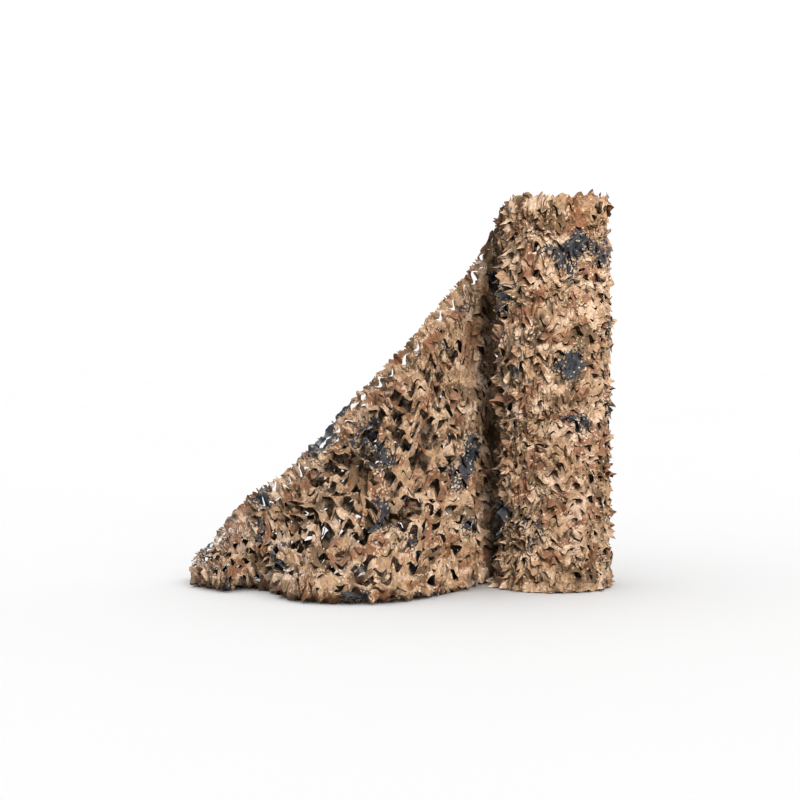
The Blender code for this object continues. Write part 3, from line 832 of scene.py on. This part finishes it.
def loose_end_leaves(surface):
    """How gaps and leaves change over the loose end, as leaf_net asks for it."""
    past_lead = surface.past_lead

    def middle_of(a, b):
        across = rise_from(b, 0.07, 0.05) * fall_to(b, 0.62, 0.25)
        return rise_from(past_lead(a), 0.21, 0.10) * across

    def crease_row(a):
        return np.interp(past_lead(a), [0.52, 0.56, 0.80, 0.93], [0.70, 0.375, 0.27, 0.15])

    def above_crease(a, b):
        return fall_to(b, crease_row(a), 0.05)

    def in_crease(a, b):
        along = rise_from(past_lead(a), 0.55, 0.04) * fall_to(past_lead(a), 0.90, 0.05)
        return along * smooth_step(1 - np.abs(b - crease_row(a) - 0.012) / 0.024)

    def openness(a, b, facing):
        out = past_lead(a)
        first_rows = smooth_step(1 - b / 0.07) * rise_from(out, 0.08, 0.05)
        first_rows = first_rows * (1 - 0.5 * rise_from(out, 0.55, 0.2)) * fall_to(out, 0.90, 0.08)
        middle = middle_of(a, b) * above_crease(a, b) * (1 - 0.6 * rise_from(out, 0.70, 0.12))
        middle_gap = 0.48 - 0.08 * rise_from(out, 0.45, 0.2)
        lobe = (1 - above_crease(a, b)) * fall_to(b, 0.56, 0.06) * (1 - 0.7 * rise_from(out, 0.72, 0.10))
        opened = -0.09 + 0.20 * first_rows + middle_gap * middle + 0.13 * lobe + 0.12 * in_crease(a, b)
        patch = 0.09 * soft_noise(31, a * 36, b * 42, 2.5)
        opened = opened + patch * (0.3 + 0.7 * np.maximum(middle, lobe))
        seen = fall_to(facing[..., 1], 0.2, 0.3)
        opened = np.where(seen > 0, opened * seen, 0) - 0.16 * (1 - seen)
        on_roll = fall_to(out, 0.10, 0.03)
        return opened * (1 - on_roll) + (0.13 + 1.4 * patch) * on_roll

    def side(a, b):
        return rise_from(past_lead(a), 0.07, 0.03)

    # Painted shade on the cloth's back: none near the roll and the ridge, full further along and down.
    def painted_fold_shade(a, b):
        return rise_from(past_lead(a), 0.16, 0.10) * rise_from(b, 0.06, 0.10)

    def relief(a, b):
        front = rise_from(b, 0.34, 0.06) * fall_to(b, 0.60, 0.06)
        front = front * rise_from(past_lead(a), 0.36, 0.08) * fall_to(past_lead(a), 0.72, 0.08)
        near_end = rise_from(past_lead(a), 0.80, 0.10)
        inner = 1 - 0.25 * rise_from(b, 0.62, 0.05)
        return (1 - 0.40 * near_end) * (1 - 0.28 * front) * (1 - 0.30 * in_crease(a, b)) * inner

    def leaf(a, b):
        return 0.50 - 0.06 * middle_of(a, b)

    return dict(
        openness=openness, side=side, relief=relief, painted_fold_shade=painted_fold_shade, leaf=leaf, cell=OPEN_CELL,
        curl=0.018, tilt=0.010, crush=0.009, wander=0.20, ends=(0.05, 0.012),
    )


def make_loose_end_net(material, surface, rows, rows_to_floor):
    past_lead = surface.past_lead

    def lay(x, y):
        """Rows level with the floor, so the ridge crosses them."""
        a = surface.share_at(x, past_end=0.4)
        stretch = smooth_step(past_lead(a) / 0.4) * fall_to(past_lead(a), 0.85, 0.25)
        pitch = OPEN_CELL.height * (1 + ROW_STRETCH * stretch)
        down = surface.along(surface.to_floor, a) + (y - rows_to_floor) * pitch
        return a, down / surface.along(surface.drops, a)

    def keep(a, b):
        """Away from the upper edge, where the edge rows hang instead."""
        return b > EDGE_ROWS_OVER * rise_from(past_lead(a), 0.01, 0.05) / surface.along(surface.drops, a)

    piece, area = leaf_net(
        "loose_end_net", surface.columns(), rows, surface, seed=101, tips=(0.40, 0.4), first_column=21,
        first_row=13, lay=lay, keep=keep, **loose_end_leaves(surface),
    )
    finish_piece(piece, material, "loose_end")


def make_edge_rows(material, surface):
    """The rows along the upper selvedge, laid along its slope."""

    def lay(x, y):
        a = (x * OPEN_CELL.length - EDGE_SLANT * y) / surface.length
        return a, y * EDGE_PITCH / surface.along(surface.drops, np.clip(a, 0, 1))

    edge, area = leaf_net(
        "loose_end_edge_rows", int(surface.length / OPEN_CELL.length) + 3, EDGE_ROWS, surface, seed=161,
        tips=(0.40, 0.5), first_column=14, first_row=3, lay=lay, stand_off=0.004,
        keep=lambda a, b: surface.past_lead(a) > 0.02 + 0.8 * b, **loose_end_leaves(surface),
    )
    finish_piece(edge, material, "loose_end")


def make_inner_layer(material, flap, first_row):
    rows = int(flap.tops.max() / FLAP_PITCH) + 2

    def lay(x, y):
        a = flap.share_at(x, past_end=1.0)
        down = flap.along(flap.tops, a) - flap.tops.max() + y * FLAP_PITCH
        return a, down / flap.along(flap.drops, a)

    # The inner layer's back gets the full painted fold shade all over.
    inner, area = leaf_net(
        "loose_end_inner_layer", flap.columns(), rows, flap, seed=141, openness=evenly(-0.20), leaf=0.4,
        curl=0.010, tilt=0.004, crush=0.007, tips=(0.3, 0.5), painted_fold_shade=evenly(1), ends=(0.05, 0.02),
        lay=lay, first_column=3, first_row=first_row, cell=OPEN_CELL,
    )
    finish_piece(inner, material, "loose_end")


def make_loose_end(material):
    surface, flap = loose_end_surface()
    rows_to_floor = int(surface.to_floor[0] / OPEN_CELL.height)
    rows = rows_to_floor + ROWS_PAST_FLOOR
    make_loose_end_net(material, surface, rows, rows_to_floor)
    make_edge_rows(material, surface)
    make_inner_layer(material, flap, first_row=rows)


def shoulder_drop(x):
    """How far the turns' upper edges sag on the side that the loose end pulls at."""
    return 0.09 * np.clip((-x - 0.13) / 0.10, 0, 1.05) ** 2


def angle_between(angle, other):
    return np.abs((angle - other + math.pi) % (2 * math.pi) - math.pi)


def turn_surface(radius, seed):
    """A wound turn: an even spiral from the back all the way round, with the roll's lumps."""
    a, b = np.meshgrid(np.linspace(0, 1, 260), np.linspace(0, 1, 120), indexing="ij")
    angle = np.radians(-270 + 360 * a)
    spiral = radius - TURN_GROWTH + TURN_GROWTH * a
    rim = 0.013 * soft_noise(seed + 3, angle * 0.9 + 20, b * 0, 0.3) - shoulder_drop(spiral * np.cos(angle))
    height = TURN_TOP + rim + (TURN_FOOT - TURN_TOP - rim) * b
    lump = 0.004 * (
        np.sin(2 * angle + 3.1 * height + 0.6) * 0.6
        + np.sin(3 * angle - 5.3 * height + 2.0) * 0.4
        + np.sin(angle + 9.0 * height) * 0.3
    )
    free = rise_from(angle_between(angle, math.pi / 2), math.radians(14), math.radians(14))
    around = smooth_step(1 - angle_between(angle, math.radians(195)) / math.radians(70))
    up = rise_from(height, 1.15, 0.32)
    spread = 0.009 * smooth_step(1 - height / 0.16)
    sway = 0.007 * np.sin(7.5 * height + 0.8) + 0.004 * np.sin(17.0 * height + 2.0)
    r = spiral + (lump + spread - 0.007 * up) * free + (0.010 + 0.014 * up + sway) * around
    points = np.stack([r * np.cos(angle), r * np.sin(angle), height], axis=-1)
    return Surface(points, outward=-1.0)


def make_turn(name, material, radius, seed):
    columns, rows = 22, 43

    def openness(a, b, facing):
        return 0.13 + 0.12 * soft_noise(seed + 31, a * columns, b * rows, 2.5)

    def side(a, b):
        degrees_off = np.minimum(a, 1 - a) * 360
        return rise_from(degrees_off, 12, 14)

    def relief(a, b):
        return 1 + 0.6 * smooth_step(1 - np.abs(a * 360 - 107) / 30)

    piece, area = leaf_net(
        name, columns, rows, turn_surface(radius, seed), first_column=-110, first_row=9, seed=seed,
        openness=openness, side=side, relief=relief, leaf=0.52, curl=0.015, tilt=0.009, crumple=0.003,
        crush=0.007, wander=0.36, tips=(0.7, 0.2),
    )
    finish_piece(piece, material, "net_roll")


def make_inner_turns(material):
    """The upper edges of the inner turns, which show from above as a close spiral of leaves."""
    turns, rows, outer, inner = 12, 3, 0.166, 0.026
    points_along, points_down = 1100, 12

    def spiral(along):
        return outer + (inner - outer) * along, -2 * math.pi * turns * along + math.pi / 2

    along = np.linspace(0, 1, points_along)
    radius, angle = spiral(along)
    length = np.concatenate([[0.0], np.cumsum(np.abs(np.diff(angle)) * (radius[1:] + radius[:-1]) / 2)])
    columns = int(length[-1] / WOUND_CELL.length)
    radius, angle = spiral(np.interp(np.linspace(0, length[-1], points_along), length, along))
    top = 1.452 + 0.012 * soft_noise(71, angle * 0.9, radius * 60, 1.0) - 0.014 * (1 - radius / outer)
    top = top - shoulder_drop(radius * np.cos(angle))
    b = np.linspace(0, 1, points_down)
    height = top[:, None] - 0.10 * b[None, :]
    wobble = 0.0035 * soft_noise(72, angle[:, None] * 1.3 + b * 0, height * 20, 1.0)
    r = radius[:, None] + wobble
    points = np.stack([r * np.cos(angle)[:, None], r * np.sin(angle)[:, None], height], axis=-1)
    piece, area = leaf_net(
        "roll_inner_turns", columns, rows, Surface(points), first_column=-200, seed=55,
        openness=evenly(0.10), curl=0.008, tilt=0.004, crumple=0.0018, tips=(0.75, 0.2),
    )
    finish_piece(piece, material, "net_roll")
    height = rows * WOUND_CELL.height


def make_wound_body(material):
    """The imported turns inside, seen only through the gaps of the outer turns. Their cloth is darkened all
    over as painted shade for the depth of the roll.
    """
    around, up, rings = 72, 70, 8
    ripple, turn_apart = 0.004, 0.013
    verts, uvs = [], []
    for z in np.linspace(0.003, BODY_TOP, up):
        for i in range(around + 1):
            angle = 2 * math.pi * i / around
            r = BODY_RADIUS + ripple * float(soft_noise(81, (i % around) * 0.5, z * 60, 1.0))
            verts.append((r * math.cos(angle), r * math.sin(angle), z))
            uvs.append((angle * BODY_RADIUS, z))
    for ring in range(1, rings + 1):
        r = BODY_RADIUS * (1 - ring / (rings + 1))
        for i in range(around + 1):
            angle = 2 * math.pi * i / around
            z = BODY_TOP + ripple * math.sin(2 * math.pi * (r / turn_apart) - angle)
            verts.append((r * math.cos(angle), r * math.sin(angle), z))
            uvs.append((angle * BODY_RADIUS, BODY_TOP + BODY_RADIUS - r))
    width = around + 1
    faces = [
        (j * width + i, j * width + i + 1, (j + 1) * width + i + 1, (j + 1) * width + i)
        for j in range(up + rings - 1)
        for i in range(around)
    ]
    nothing = np.zeros(len(verts))
    piece = mesh_piece("roll_wound_body", np.array(verts), np.array(faces), np.array(uvs), nothing, nothing)
    finish_piece(piece, material, "net_roll")


net = netting_material("netting")
# Darkened all over as painted shade, for the cloth deep inside the roll.
net_in_painted_shade = netting_material("netting_in_shade", shade=0.3)
make_wound_body(net_in_painted_shade)
make_inner_turns(net)
make_turn("roll_second_turn", net, ROLL_RADIUS - OUTER_TURN_GAP, 77)
make_turn("roll_outer_turn", net, ROLL_RADIUS, 33)
make_loose_end(net)

# ---- Stage, light and camera ---------------------------------------------------------


def make_stage():
    bpy.ops.mesh.primitive_plane_add(size=60, location=(0, 0, -0.0005))
    floor = bpy.context.object
    floor.name = "floor"
    material = bpy.data.materials.new("floor")
    material.use_nodes = True
    n = Nodes(material)
    shader = n.tree.nodes["Principled BSDF"]
    coords = n.add("ShaderNodeTexCoord")
    tone = n.noise(coords.outputs["Object"], 0.6, 2.0)
    n.link(n.mix(tone, (0.95, 0.95, 0.95, 1), (0.97, 0.97, 0.97, 1)), shader, "Base Color")
    shader.inputs["Roughness"].default_value = 0.9
    shader.inputs["Specular IOR Level"].default_value = 0.1
    floor.data.materials.append(material)


def area_light(name, location, target, size, power):
    data = bpy.data.lights.new(name, "AREA")
    data.shape = "DISK"
    data.size = size
    data.energy = power
    light = bpy.data.objects.new(name, data)
    light.location = location
    light.rotation_euler = (Vector(target) - Vector(location)).to_track_quat("-Z", "Y").to_euler()
    bpy.context.scene.collection.objects.link(light)
    return light


def make_lights():
    world = bpy.data.worlds.new("studio")
    world.use_nodes = True
    background = world.node_tree.nodes["Background"]
    background.inputs["Color"].default_value = (1.0, 1.0, 1.0, 1.0)
    background.inputs["Strength"].default_value = 1.04
    bpy.context.scene.world = world
    key = area_light("key", (1.25, -4.0, 3.2), (-0.3, 0.0, 0.7), 2.5, 960.0)
    key.data.color = (1.0, 0.98, 0.97)
    lit = bpy.data.collections.new("lit_by_key")
    for piece in bpy.context.scene.objects:
        if piece.type == "MESH" and piece.name != "floor":
            lit.objects.link(piece)
    key.light_linking.receiver_collection = lit
    data = bpy.data.lights.new("rear_fill", "SUN")
    data.energy = 5.0
    data.angle = math.radians(40)
    rear = bpy.data.objects.new("rear_fill", data)
    rear.rotation_euler = (math.radians(54), 0, math.radians(212))
    bpy.context.scene.collection.objects.link(rear)
    rear.light_linking.receiver_collection = lit


def make_camera():
    data = bpy.data.cameras.new("camera")
    data.lens = 82.8
    data.sensor_width = 36
    camera = bpy.data.objects.new("camera", data)
    camera.location = (-0.59, -7.0, 1.04)
    camera.rotation_euler = (math.radians(90 - 2.7), 0, 0)
    bpy.context.scene.collection.objects.link(camera)
    bpy.context.scene.camera = camera


make_stage()
make_lights()
make_camera()
view = bpy.context.scene.view_settings
view.view_transform = "Standard"
view.look = "None"
